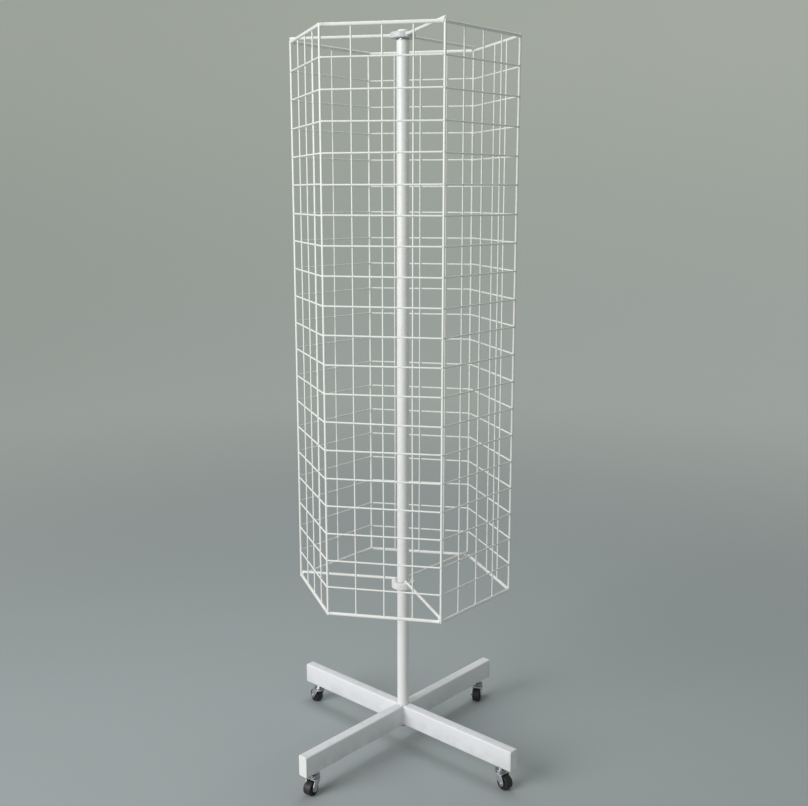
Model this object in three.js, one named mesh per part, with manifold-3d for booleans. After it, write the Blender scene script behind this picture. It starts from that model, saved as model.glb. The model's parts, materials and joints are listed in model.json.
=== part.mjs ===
// Rotating display rack: a six-sided cage of welded wire grid that turns on a fixed round pole,
// standing on a cross of rectangular tube with four swivel casters.
// Millimetres, +Z up. The origin is on the floor, on the pole's axis; the legs lie along X and Y.
import * as THREE from "three";
import { mergeVertices } from "three/addons/utils/BufferGeometryUtils.js";
import Module from "manifold-3d";

// ---------------------------------------------------------------- driving dimensions
const GAP = 0.3; // clearance between pieces that touch

// casters
const WHEEL_R = 20; // rolling radius
const WHEEL_W = 24;
const WHEEL_SIDES = 24;
const TRAIL = 17; // wheel axle behind the swivel axis
const CASTER_H = 63; // floor to the underside of the leg
const CASTER_RADIUS = 362; // swivel axis from the pole's axis
const CASTER_TURN = { fr: 352, br: 298, bl: 168, fl: 278 }; // where each wheel trails, degrees from +X
const CASTER_LEG = { fr: 0, br: 90, bl: 180, fl: 270 };

// base
const LEG_W = 30;
const LEG_H = 60;
const LEG_WALL = 2;
const LEG_HALF = 402; // pole's axis to the tube's end
const CAP_T = 3;
const LEG_Z0 = CASTER_H;
const LEG_Z1 = CASTER_H + LEG_H;

// pole
const POLE_D = 34;
const POLE_WALL = 2;

// cage
const CAGE_R = 306; // axis to the centre of a corner post
const CAGE_TURN = 0.9; // where the cage is parked, degrees
const CAGE_Z0 = 503.5; // centre of the bottom rails
const CELL_H = 75;
const ROWS = 20;
const COLS = 4;
const CAGE_Z1 = CAGE_Z0 + CELL_H * ROWS; // centre of the top rails
const RAIL_D = 9;
const WIRE = 4.4;
const WELD = 0.2; // how far lapped wires sink into each other on each side
const POST_D = 7;
const SPOKE_D = 8;

// hubs
const HUB_R = 33;
const TOP_HUB_Z0 = CAGE_Z1 + 1;
const TOP_HUB_Z1 = CAGE_Z1 + 16;
const LOW_HUB_Z1 = CAGE_Z0 + RAIL_D / 2;
const LOW_HUB_Z0 = LOW_HUB_Z1 - 19;
const SPOKE_LIFT = RAIL_D / 2 + SPOKE_D / 2 + GAP; // spokes lie on the rails
const PIN_R = 6;
const RACE_R = 12.7;
const POLE_Z0 = LEG_Z1 + GAP;
const POLE_Z1 = CAGE_Z1 - 3;

// ---------------------------------------------------------------- solids
const wasm = await Module();
wasm.setup();
const V = (x, y, z) => new THREE.Vector3(x, y, z);
const RAD = Math.PI / 180;

// One closed surface with shared corners and its faces outwards.
function closed(geometry) {
  const bare = new THREE.BufferGeometry();
  bare.setAttribute("position", geometry.getAttribute("position").clone());
  if (geometry.index) bare.setIndex(geometry.index.clone());
  const merged = mergeVertices(bare, 1e-3);
  const p = merged.getAttribute("position").array;
  const src = merged.index.array;
  const tri = [];
  let volume = 0;
  for (let i = 0; i < src.length; i += 3) {
    const [a, b, c] = [src[i], src[i + 1], src[i + 2]];
    if (a === b || b === c || a === c) continue;
    tri.push(a, b, c);
    const [ax, ay, az] = [p[3 * a], p[3 * a + 1], p[3 * a + 2]];
    const [bx, by, bz] = [p[3 * b], p[3 * b + 1], p[3 * b + 2]];
    const [cx, cy, cz] = [p[3 * c], p[3 * c + 1], p[3 * c + 2]];
    volume += ax * (by * cz - bz * cy) + ay * (bz * cx - bx * cz) + az * (bx * cy - by * cx);
  }
  if (volume < 0) for (let i = 0; i < tri.length; i += 3) [tri[i + 1], tri[i + 2]] = [tri[i + 2], tri[i + 1]];
  merged.setIndex(tri);
  return merged;
}

function solid(geometry) {
  const g = closed(geometry);
  return new wasm.Manifold(
    new wasm.Mesh({
      numProp: 3,
      vertProperties: new Float32Array(g.getAttribute("position").array),
      triVerts: new Uint32Array(g.index.array),
    }),
  );
}

function fromSolid(s) {
  const m = s.getMesh();
  const n = m.numProp;
  const v = new Float32Array(m.numVert * 3);
  for (let i = 0; i < m.numVert; i++) v.set(m.vertProperties.subarray(i * n, i * n + 3), i * 3);
  const g = new THREE.BufferGeometry();
  g.setAttribute("position", new THREE.BufferAttribute(v, 3));
  g.setIndex(new THREE.BufferAttribute(new Uint32Array(m.triVerts), 1));
  return g;
}

const join = (list) => list.map(solid).reduce((a, b) => a.add(b));
const cut = (body, tools) => tools.map(solid).reduce((a, b) => a.subtract(b), body);

// A box from its lowest and highest corners.
function box(x0, y0, z0, x1, y1, z1) {
  return new THREE.BoxGeometry(x1 - x0, y1 - y0, z1 - z0).translate((x0 + x1) / 2, (y0 + y1) / 2, (z0 + z1) / 2);
}

// A round bar along Z.
function bar(r, z0, z1, sides = 24, x = 0, y = 0) {
  return new THREE.CylinderGeometry(r, r, z1 - z0, sides)
    .rotateX(Math.PI / 2)
    .rotateZ(Math.PI / sides)
    .translate(x, y, (z0 + z1) / 2);
}

// A round bar between two points.
function rod(a, b, r, sides = 10) {
  const d = b.clone().sub(a);
  const g = new THREE.CylinderGeometry(r, r, d.length(), sides);
  g.applyQuaternion(new THREE.Quaternion().setFromUnitVectors(V(0, 1, 0), d.clone().normalize()));
  return g.translate((a.x + b.x) / 2, (a.y + b.y) / 2, (a.z + b.z) / 2);
}

// A turned piece: [radius, height] pairs, on the axis at both ends or closed on itself.
function turned(profile, sides = 28) {
  const pts = profile.map(([r, z]) => new THREE.Vector2(r, z));
  return new THREE.LatheGeometry(pts, sides).rotateX(Math.PI / 2).rotateZ(Math.PI / sides);
}

function ring(r0, r1, z0, z1, sides = 28) {
  return turned([[r0, z0], [r1, z0], [r1, z1], [r0, z1], [r0, z0]], sides);
}

function hexPrism(flats, z0, z1) {
  return new THREE.CylinderGeometry(flats / Math.sqrt(3), flats / Math.sqrt(3), z1 - z0, 6)
    .rotateX(Math.PI / 2)
    .translate(0, 0, (z0 + z1) / 2);
}

// ---------------------------------------------------------------- finishes
const FINISH = {
  white: { color: 0xe9e8e4, roughness: 0.42, metalness: 0.0 },
  hub: { color: 0xd6d4d8, roughness: 0.5, metalness: 0.0 },
  zinc: { color: 0xb9bcc0, roughness: 0.35, metalness: 0.9 },
  steel: { color: 0xc8c9ca, roughness: 0.25, metalness: 1.0 },
  rubber: { color: 0x1b1c1f, roughness: 0.6, metalness: 0.0 },
  nylon: { color: 0xe2e0d8, roughness: 0.55, metalness: 0.0 },
  plastic: { color: 0xe4e3df, roughness: 0.45, metalness: 0.0 },
};

const rack = new THREE.Group();
rack.name = "rotating_display_rack";
const cage = new THREE.Group();
cage.rotation.z = CAGE_TURN * RAD;
rack.add(cage);

function put(parent, name, shape, finish) {
  const geometry = shape instanceof THREE.BufferGeometry ? closed(shape) : fromSolid(shape);
  const mesh = new THREE.Mesh(geometry, new THREE.MeshStandardMaterial({ ...FINISH[finish], flatShading: true }));
  mesh.name = name;
  parent.add(mesh);
  return mesh;
}

// ---------------------------------------------------------------- base: cross of rectangular tube
// A tube along +X from x0 to x1, with a welded nut over each stem hole.
function legTube(x0, x1, stems, centreHole) {
  const w = LEG_W / 2;
  const outer = solid(box(x0, -w, LEG_Z0, x1, w, LEG_Z1));
  let tube = cut(outer, [
    box(x0 - 1, -w + LEG_WALL, LEG_Z0 + LEG_WALL, x1 + 1, w - LEG_WALL, LEG_Z1 - LEG_WALL),
  ]);
  for (const x of stems)
    tube = tube.add(solid(hexPrism(17, LEG_Z0 + LEG_WALL - 0.5, LEG_Z0 + LEG_WALL + 9).translate(x, 0, 0)));
  const holes = stems.map((x) => bar(5.4, LEG_Z0 - 1, LEG_Z0 + 12, 12, x, 0));
  if (centreHole) holes.push(bar(6.5, LEG_Z0 - 1, LEG_Z1 + 1, 12));
  return cut(tube, holes);
}

const turnBy = (g, deg) => {
  const h = new THREE.Group();
  h.rotation.z = deg * RAD;
  g.add(h);
  return h;
};

put(rack, "leg_long", legTube(-LEG_HALF, LEG_HALF, [-CASTER_RADIUS, CASTER_RADIUS], true), "white");
put(turnBy(rack, 90), "leg_short_back", legTube(LEG_W / 2 + GAP, LEG_HALF, [CASTER_RADIUS], false), "white");
put(turnBy(rack, 270), "leg_short_front", legTube(LEG_W / 2 + GAP, LEG_HALF, [CASTER_RADIUS], false), "white");

function legCap() {
  const w = LEG_W / 2;
  const x = LEG_HALF + GAP;
  const plate = box(x, -w, LEG_Z0, x + CAP_T, w, LEG_Z1);
  const i = w - LEG_WALL - GAP;
  const z0 = LEG_Z0 + LEG_WALL + GAP;
  const z1 = LEG_Z1 - LEG_WALL - GAP;
  const skirt = cut(solid(box(x - 14, -i, z0, x + 0.5, i, z1)), [
    box(x - 15, -i + 2.5, z0 + 2.5, x - 0.01, i - 2.5, z1 - 2.5),
  ]);
  return solid(plate).add(skirt);
}
for (const [k, deg] of Object.entries(CASTER_LEG)) put(turnBy(rack, deg), "leg_cap_" + k, legCap(), "plastic");

// ---------------------------------------------------------------- pole and its foot
put(rack, "pole", ring(POLE_D / 2 - POLE_WALL, POLE_D / 2, POLE_Z0, POLE_Z1, 24), "white");
const plugR = (POLE_D / 2 - POLE_WALL) * Math.cos(Math.PI / 24) - GAP;
put(rack, "pole_foot_plug", ring(6.5, plugR, POLE_Z0, POLE_Z0 + 30, 20), "zinc");
put(rack, "foot_washer", ring(6.4, 15, LEG_Z0 - GAP - 2.5, LEG_Z0 - GAP, 20), "zinc");
put(
  rack,
  "foot_bolt",
  join([hexPrism(18, LEG_Z0 - 11, LEG_Z0 - 3.4), bar(5.9, LEG_Z0 - 4, POLE_Z0 + 26, 12)]),
  "zinc",
);

// ---------------------------------------------------------------- pivot on the pole's top: thrust ball bearing, washer, clip
const seat = POLE_Z1 + GAP + 3; // top of the plug's flange
put(
  rack,
  "pivot_plug",
  turned(
    [
      [0, POLE_Z1 - 32],
      [plugR, POLE_Z1 - 32],
      [plugR, POLE_Z1 + GAP],
      [POLE_D / 2, POLE_Z1 + GAP],
      [POLE_D / 2, seat],
      [PIN_R, seat],
      [PIN_R, TOP_HUB_Z1 + 2.1],
      [PIN_R - 0.8, TOP_HUB_Z1 + 2.1],
      [PIN_R - 0.8, TOP_HUB_Z1 + 3.7],
      [PIN_R, TOP_HUB_Z1 + 3.7],
      [PIN_R, TOP_HUB_Z1 + 4.6],
      [PIN_R - 0.6, TOP_HUB_Z1 + 5.2],
      [0, TOP_HUB_Z1 + 5.2],
    ],
    20,
  ),
  "steel",
);
const race0 = seat + GAP;
put(rack, "thrust_race_lower", ring(PIN_R + GAP, RACE_R, race0, race0 + 2.5, 20), "steel");
put(rack, "thrust_ball_ring", ring(PIN_R + 1.2, RACE_R - 0.8, race0 + 2.8, race0 + 6.2, 20), "steel");
put(cage, "thrust_race_upper", ring(PIN_R + 0.6, RACE_R, race0 + 6.5, race0 + 9, 20), "steel");
const ceiling = race0 + 9 + GAP;
put(
  cage,
  "top_hub",
  turned(
    [
      [PIN_R + 0.6, ceiling],
      [RACE_R + 0.6, ceiling],
      [RACE_R + 0.6, TOP_HUB_Z0],
      [HUB_R - 1, TOP_HUB_Z0],
      [HUB_R, TOP_HUB_Z0 + 1],
      [HUB_R, TOP_HUB_Z1 - 1],
      [HUB_R - 1, TOP_HUB_Z1],
      [16, TOP_HUB_Z1],
      [PIN_R + 0.6, TOP_HUB_Z1],
      [PIN_R + 0.6, ceiling],
    ],
    24,
  ),
  "hub",
);
put(rack, "pivot_washer", ring(PIN_R + GAP, 11.5, TOP_HUB_Z1 + GAP, TOP_HUB_Z1 + GAP + 1.6, 20), "zinc");
put(
  rack,
  "pivot_clip", // an open retaining ring in the pin's groove
  cut(solid(ring(5.5, 10, TOP_HUB_Z1 + 2.4, TOP_HUB_Z1 + 3.4, 24)), [
    box(0, -3.2, TOP_HUB_Z1 + 1, 12, 3.2, TOP_HUB_Z1 + 5).rotateZ(80 * RAD),
  ]),
  "zinc",
);
put(
  cage,
  "pivot_cover",
  turned(
    [
      [12.4, TOP_HUB_Z1 + GAP],
      [15, TOP_HUB_Z1 + GAP],
      [15, TOP_HUB_Z1 + 4.2],
      [12.6, TOP_HUB_Z1 + 6.9],
      [0, TOP_HUB_Z1 + 7.6],
      [0, TOP_HUB_Z1 + 6],
      [11, TOP_HUB_Z1 + 5.6],
      [12.4, TOP_HUB_Z1 + 4.4],
      [12.4, TOP_HUB_Z1 + GAP],
    ],
    20,
  ),
  "plastic",
);

// ---------------------------------------------------------------- lower hub, sliding on the pole with a nylon bush
put(
  cage,
  "lower_hub",
  turned(
    [
      [20.2, LOW_HUB_Z0],
      [HUB_R - 1, LOW_HUB_Z0],
      [HUB_R, LOW_HUB_Z0 + 1],
      [HUB_R, LOW_HUB_Z1 - 1],
      [HUB_R - 1, LOW_HUB_Z1],
      [20.2, LOW_HUB_Z1],
      [20.2, LOW_HUB_Z0],
    ],
    24,
  ),
  "hub",
);
put(
  cage,
  "guide_bush",
  turned(
    [
      [POLE_D / 2 + 0.4, LOW_HUB_Z0 - 3.3],
      [25, LOW_HUB_Z0 - 3.3],
      [25, LOW_HUB_Z0 - GAP],
      [19.8, LOW_HUB_Z0 - GAP],
      [19.8, LOW_HUB_Z1 - 0.5],
      [POLE_D / 2 + 0.4, LOW_HUB_Z1 - 0.5],
      [POLE_D / 2 + 0.4, LOW_HUB_Z0 - 3.3],
    ],
    24,
  ),
  "nylon",
);

// ---------------------------------------------------------------- cage: six flat grids between six posts
const SIDE = CAGE_R; // side of a regular hexagon
const APOTHEM = CAGE_R * Math.cos(30 * RAD);

// One grid, standing in the XZ plane, its outer face towards -Y. Local origin at its bottom rail's middle.
function gridPanel() {
  const end = SIDE / 2 - POST_D / 2 - 0.4;
  const h = WIRE / 2;
  const bars = [
    rod(V(-end, 0, 0), V(end, 0, 0), RAIL_D / 2, 10),
    rod(V(-end, 0, ROWS * CELL_H), V(end, 0, ROWS * CELL_H), RAIL_D / 2, 10),
  ];
  for (let c = 1; c < COLS; c++) {
    const x = -SIDE / 2 + (SIDE * c) / COLS;
    bars.push(box(x - h, -WELD, 1, x + h, WIRE - WELD, ROWS * CELL_H - 1));
  }
  for (let r = 1; r < ROWS; r++)
    bars.push(box(-end, WELD - WIRE, r * CELL_H - h, end, WELD, r * CELL_H + h));
  return join(bars);
}
const CORNERS = ["d", "e", "f", "a", "b", "c"]; // at 30, 90, 150, 210, 270 and 330 degrees
CORNERS.forEach((k, i) => {
  const next = CORNERS[(i + 1) % 6];
  const side = turnBy(cage, 60 + 60 * i); // the middle of the side from this corner to the next
  const stand = new THREE.Group();
  stand.position.set(APOTHEM, 0, CAGE_Z0);
  stand.rotation.z = Math.PI / 2;
  side.add(stand);
  put(stand, "panel_" + k + next, gridPanel(), "white");
});
CORNERS.forEach((k, i) => {
  const corner = turnBy(cage, 30 + 60 * i);
  put(
    corner,
    "corner_post_" + k,
    bar(POST_D / 2, CAGE_Z0 - RAIL_D / 2, CAGE_Z1 + RAIL_D / 2, 10, CAGE_R, 0),
    "white",
  );
});
for (const k of ["a", "c", "e"]) {
  const arm = turnBy(cage, 30 + 60 * CORNERS.indexOf(k));
  const zt = CAGE_Z1 + SPOKE_LIFT;
  const zb = CAGE_Z0 + SPOKE_LIFT;
  put(arm, "top_spoke_" + k, rod(V(HUB_R + GAP, 0, zt), V(CAGE_R + 2, 0, zt), SPOKE_D / 2), "white");
  put(arm, "bottom_spoke_" + k, rod(V(POLE_D / 2 + 5, 0, zb), V(CAGE_R - POST_D / 2 - 0.4, 0, zb), SPOKE_D / 2), "white");
}

// ---------------------------------------------------------------- casters
// Local frame of one caster: swivel axis on Z, the wheel trailing towards +X.
const CROWN_Z0 = 43.6;
const CROWN_Z1 = 45.8;
const RACE_Z1 = 50.6; // underside of the fixed upper race
const ARM_Y = WHEEL_W / 2 + 1.4;
const ARM_T = 2;

function casterStem() {
  return turned(
    [
      [0, CROWN_Z0 - 2.7],
      [6, CROWN_Z0 - 2.7],
      [6, CROWN_Z0 - GAP],
      [4, CROWN_Z0 - GAP],
      [4, RACE_Z1],
      [15.5, RACE_Z1],
      [15.5, RACE_Z1 + 2.6],
      [8.6, RACE_Z1 + 2.6],
      [8.6, LEG_Z0 - GAP],
      [5, LEG_Z0 - GAP],
      [5, LEG_Z0 + 21],
      [0, LEG_Z0 + 21],
    ],
    16,
  );
}

function casterFork() {
  const w = ARM_Y + ARM_T;
  const crown = new THREE.Shape();
  crown.moveTo(17, -w);
  crown.lineTo(17, w);
  crown.lineTo(-4, w);
  crown.absarc(0, 0, Math.hypot(4, w), Math.atan2(w, -4), Math.atan2(-w, -4) + 2 * Math.PI, false);
  crown.lineTo(17, -w);
  const top = new THREE.ExtrudeGeometry(crown, { depth: CROWN_Z1 - CROWN_Z0, bevelEnabled: false, curveSegments: 5 }).translate(0, 0, CROWN_Z0);
  const side = new THREE.Shape(); // in XZ
  side.moveTo(-6, CROWN_Z1);
  side.lineTo(-6, CROWN_Z0 - 6);
  side.lineTo(TRAIL - 7.6, WHEEL_R - 3);
  side.absarc(TRAIL, WHEEL_R, 8, 200 * RAD, 360 * RAD, false);
  side.lineTo(TRAIL + 8, WHEEL_R + 8);
  side.lineTo(17, CROWN_Z0 - 3);
  side.lineTo(17, CROWN_Z1);
  side.lineTo(-6, CROWN_Z1);
  const arm = (y) =>
    new THREE.ExtrudeGeometry(side, { depth: ARM_T, bevelEnabled: false, curveSegments: 5 }).rotateX(Math.PI / 2).translate(0, y + ARM_T, 0);
  return cut(join([top, arm(ARM_Y), arm(-ARM_Y - ARM_T)]), [
    bar(4.6, CROWN_Z0 - 2, CROWN_Z1 + 2, 12),
    rod(V(TRAIL, -20, WHEEL_R), V(TRAIL, 20, WHEEL_R), 3.3, 10),
  ]);
}

function casterWheel() {
  const k = 1 / Math.cos(Math.PI / WHEEL_SIDES);
  const R = WHEEL_R * k;
  const w = WHEEL_W / 2;
  return turned(
    [
      [3.5, -w],
      [7, -w],
      [10, -w + 2.5],
      [R - 2.2, -w + 0.6],
      [R, -w + 3.4],
      [R, w - 3.4],
      [R - 2.2, w - 0.6],
      [10, w - 2.5],
      [7, w],
      [3.5, w],
      [3.5, -w],
    ],
    WHEEL_SIDES,
  )
    .rotateX(Math.PI / 2)
    .translate(TRAIL, 0, WHEEL_R);
}

function casterAxle() {
  const e = ARM_Y + ARM_T + GAP;
  return turned(
    [
      [0, -e - 3],
      [5.2, -e - 3],
      [5.2, -e],
      [2.9, -e],
      [2.9, e],
      [5.2, e],
      [5.2, e + 3.2],
      [0, e + 3.2],
    ],
    12,
  )
    .rotateX(Math.PI / 2)
    .translate(TRAIL, 0, WHEEL_R);
}

for (const [k, deg] of Object.entries(CASTER_LEG)) {
  const at = new THREE.Group();
  at.position.set(CASTER_RADIUS * Math.cos(deg * RAD), CASTER_RADIUS * Math.sin(deg * RAD), 0);
  rack.add(at);
  const swivel = turnBy(at, CASTER_TURN[k]);
  put(at, "caster_stem_" + k, casterStem(), "zinc");
  put(swivel, "caster_balls_" + k, ring(5.2, 14.5, CROWN_Z1 + GAP, RACE_Z1 - GAP, 16), "steel");
  put(swivel, "caster_fork_" + k, casterFork(), "zinc");
  put(swivel, "caster_axle_" + k, casterAxle(), "zinc");
  put(swivel, "caster_wheel_" + k, casterWheel(), "rubber");
}

export default rack;
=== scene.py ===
"""Looks for the rotating display rack: every visible piece is rebuilt finely in the place its CAD node holds."""

import json
import math

import bpy
import bmesh
import numpy as np
from mathutils import Matrix, Vector, noise


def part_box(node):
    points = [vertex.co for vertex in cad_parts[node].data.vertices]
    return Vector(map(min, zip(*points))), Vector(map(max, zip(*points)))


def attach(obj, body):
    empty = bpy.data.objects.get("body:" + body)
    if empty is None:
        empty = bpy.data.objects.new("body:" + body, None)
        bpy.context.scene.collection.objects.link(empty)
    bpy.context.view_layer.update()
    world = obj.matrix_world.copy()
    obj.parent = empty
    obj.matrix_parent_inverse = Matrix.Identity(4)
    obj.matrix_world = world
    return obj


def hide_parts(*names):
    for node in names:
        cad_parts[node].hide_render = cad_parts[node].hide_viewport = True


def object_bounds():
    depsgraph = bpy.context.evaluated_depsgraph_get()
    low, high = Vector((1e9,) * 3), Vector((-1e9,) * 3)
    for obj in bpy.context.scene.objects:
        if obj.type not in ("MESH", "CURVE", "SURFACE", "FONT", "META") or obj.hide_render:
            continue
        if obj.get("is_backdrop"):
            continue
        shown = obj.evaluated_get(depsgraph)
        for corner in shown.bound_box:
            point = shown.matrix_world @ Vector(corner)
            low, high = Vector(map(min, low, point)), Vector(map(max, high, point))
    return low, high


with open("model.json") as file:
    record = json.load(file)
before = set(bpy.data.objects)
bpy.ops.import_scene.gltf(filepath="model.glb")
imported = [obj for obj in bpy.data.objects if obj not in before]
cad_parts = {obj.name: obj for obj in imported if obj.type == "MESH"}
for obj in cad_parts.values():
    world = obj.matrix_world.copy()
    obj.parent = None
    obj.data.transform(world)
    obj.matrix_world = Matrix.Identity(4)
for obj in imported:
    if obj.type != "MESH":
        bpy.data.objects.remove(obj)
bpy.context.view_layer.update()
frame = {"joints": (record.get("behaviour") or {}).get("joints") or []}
JOINT = {j["name"]: j for j in frame["joints"]}
MM = 0.001

# ---------------------------------------------------------------------------------------------------
# mesh building: everything below works in millimetres in the CAD frame and is scaled once at the end
# ---------------------------------------------------------------------------------------------------


class Shape:
    """Vertices and faces of one or more closed shells."""

    def __init__(self):
        self.v, self.f, self.n = [], [], 0

    def add(self, v, f, m=None):
        v = np.asarray(v, float).reshape(-1, 3)
        if m is not None:
            m = np.asarray(m, float)
            v = v @ m[:3, :3].T + m[:3, 3]
        self.v.append(v)
        self.f.extend(tuple(int(i) + self.n for i in q) for q in f)
        self.n += len(v)
        return self

    def merge(self, other, m=None):
        return self.add(np.vstack(other.v), other.f, m)

    def points(self):
        return np.vstack(self.v)


def shift(x=0.0, y=0.0, z=0.0):
    m = np.eye(4)
    m[:3, 3] = (x, y, z)
    return m


def spin(deg, axis="z"):
    a = math.radians(deg)
    c, s = math.cos(a), math.sin(a)
    m = np.eye(4)
    i, j = {"z": (0, 1), "x": (1, 2), "y": (2, 0)}[axis]
    m[i, i] = m[j, j] = c
    m[i, j], m[j, i] = -s, s
    return m


def fillet(pts, radii, n=5, loop=True):
    """Rounds the corners of a polyline in the plane. radii: one number, or one for each corner."""
    pts = [np.array(p, float) for p in pts]
    if not hasattr(radii, "__len__"):
        radii = [radii] * len(pts)
    out, k = [], len(pts)
    for i, p in enumerate(pts):
        r = radii[i]
        if r <= 0 or (not loop and i in (0, k - 1)):
            out.append(p)
            continue
        a, b = pts[i - 1] - p, pts[(i + 1) % k] - p
        la, lb = np.linalg.norm(a), np.linalg.norm(b)
        a, b = a / la, b / lb
        ang = math.acos(max(-1, min(1, float(a @ b))))
        if ang > math.radians(176):
            out.append(p)
            continue
        d = min(r / math.tan(ang / 2), 0.49 * la, 0.49 * lb)
        r = d * math.tan(ang / 2)
        mid = (a + b) / np.linalg.norm(a + b)
        c = p + mid * r / math.sin(ang / 2)
        s, e = p + a * d - c, p + b * d - c
        a0 = math.atan2(s[1], s[0])
        sweep = (math.atan2(e[1], e[0]) - a0 + math.pi) % (2 * math.pi) - math.pi
        for q in range(n + 1):
            t = a0 + sweep * q / n
            out.append(c + r * np.array((math.cos(t), math.sin(t))))
    return np.array(out)


def lathe(profile, seg=64, m=None, into=None):
    """Turns (radius, height) points round Z. A profile that starts and ends on the axis, or a closed one without its last point repeated."""
    p = np.asarray(profile, float)
    s = into or Shape()
    ang = np.arange(seg) * 2 * math.pi / seg
    axial = abs(p[0][0]) < 1e-9 and abs(p[-1][0]) < 1e-9
    body = p[1:-1] if axial else p
    k = len(body)
    v = np.zeros((k, seg, 3))
    v[:, :, 0] = body[:, 0:1] * np.cos(ang)
    v[:, :, 1] = body[:, 0:1] * np.sin(ang)
    v[:, :, 2] = body[:, 1:2]
    v = v.reshape(-1, 3)
    f = []
    for i in range(k - 1 if axial else k):
        i2 = (i + 1) % k
        for j in range(seg):
            j2 = (j + 1) % seg
            f.append((i * seg + j, i * seg + j2, i2 * seg + j2, i2 * seg + j))
    if axial:
        v = np.vstack([v, (0, 0, p[0][1]), (0, 0, p[-1][1])])
        a, b = k * seg, k * seg + 1
        for j in range(seg):
            j2 = (j + 1) % seg
            f.append((a, j2, j))
            f.append((b, (k - 1) * seg + j, (k - 1) * seg + j2))
    return s.add(v, f, m)


def ball(r, centre, seg=16, rings=10, squash=(1, 1, 1), m=None, into=None):
    a = np.linspace(-math.pi / 2, math.pi / 2, rings + 1)
    prof = np.stack([r * np.cos(a), r * np.sin(a)], 1)
    prof[0][0] = prof[-1][0] = 0
    t = np.eye(4)
    t[0, 0], t[1, 1], t[2, 2] = squash
    t[:3, 3] = centre
    if m is not None:
        t = np.asarray(m) @ t
    return lathe(prof, seg, t, into)


def sweep(path, section, closed_section=True, into=None, m=None, up=(0, 0, 1), scale=None, taper=None):
    """A closed bar whose section (points across and up) follows a path. taper shrinks its two ends a little, as a deburred cut."""
    path = np.asarray(path, float)
    sec = np.asarray(section, float)
    s = into or Shape()
    n, k = len(path), len(sec)
    tang = np.gradient(path, axis=0)
    tang /= np.linalg.norm(tang, axis=1)[:, None]
    up = np.array(up, float)
    rings = []
    for i in range(n):
        t = tang[i]
        side = np.cross(t, up)
        if np.linalg.norm(side) < 1e-6:
            side = np.cross(t, (1.0, 0, 0))
        side /= np.linalg.norm(side)
        top = np.cross(side, t)
        q = 1.0 if scale is None else scale[i]
        rings.append(path[i] + q * (sec[:, 0:1] * side + sec[:, 1:2] * top))
    if taper:
        d, q = taper
        for end, t, at in ((0, -tang[0], 0), (-1, tang[-1], n)):
            base = rings[0] if end == 0 else rings[-1]
            centre = path[end]
            ring = centre + (base - centre) * q
            if end == 0:
                rings[0] = base - t * d
                rings.insert(0, ring)
            else:
                rings[-1] = base - t * d
                rings.append(ring)
    n = len(rings)
    v = np.vstack(rings + [rings[0].mean(0)[None], rings[-1].mean(0)[None]])
    f = []
    for i in range(n - 1):
        for j in range(k):
            j2 = (j + 1) % k
            f.append((i * k + j, i * k + j2, (i + 1) * k + j2, (i + 1) * k + j))
    a, b = n * k, n * k + 1
    for j in range(k):
        j2 = (j + 1) % k
        f.append((a, j2, j))
        f.append((b, (n - 1) * k + j, (n - 1) * k + j2))
    return s.add(v, f, m)


def circle(r, k=16, turn=0.0):
    a = np.arange(k) * 2 * math.pi / k + turn
    return np.stack([r * np.cos(a), r * np.sin(a)], 1)


def rod(a, b, r, sides=24, step=None, into=None, taper=None):
    a, b = np.array(a, float), np.array(b, float)
    n = 2 if step is None else max(2, int(round(np.linalg.norm(b - a) / step)) + 1)
    path = a + (b - a) * np.linspace(0, 1, n)[:, None]
    return sweep(path, circle(r, sides, math.pi / sides), into=into, taper=taper)


def plate(outline, z0, z1, bevel=0.3, nb=3, into=None, m=None, holes=()):
    """A flat plate with a rounded-over edge. outline: points counter-clockwise."""
    o = np.asarray(outline, float)
    k = len(o)
    nxt, prv = np.roll(o, -1, 0), np.roll(o, 1, 0)
    d = nxt - prv
    d /= np.linalg.norm(d, axis=1)[:, None]
    inward = np.stack([-d[:, 1], d[:, 0]], 1)
    rings = []
    for q in range(nb + 1):
        t = math.pi / 2 * q / nb
        rings.append((bevel * (1 - math.sin(t)), z0 + bevel * (1 - math.cos(t))))
    for q in range(nb + 1):
        t = math.pi / 2 * (1 - q / nb)
        rings.append((bevel * (1 - math.sin(t)), z1 - bevel * (1 - math.cos(t))))
    v, f = [], []
    for off, z in rings:
        p = o + inward * off
        v.append(np.column_stack([p, np.full(k, z)]))
    n = len(rings)
    for i in range(n - 1):
        for j in range(k):
            j2 = (j + 1) % k
            f.append((i * k + j, i * k + j2, (i + 1) * k + j2, (i + 1) * k + j))
    f.append(tuple(range(k - 1, -1, -1)))
    f.append(tuple((n - 1) * k + j for j in range(k)))
    s = into or Shape()
    return s.add(np.vstack(v), f, m)


def hexagon(flats, turn=0.0):
    r = flats / math.sqrt(3)
    return np.array([(r * math.cos(a), r * math.sin(a)) for a in [math.radians(60 * i) + turn for i in range(6)]])


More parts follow.
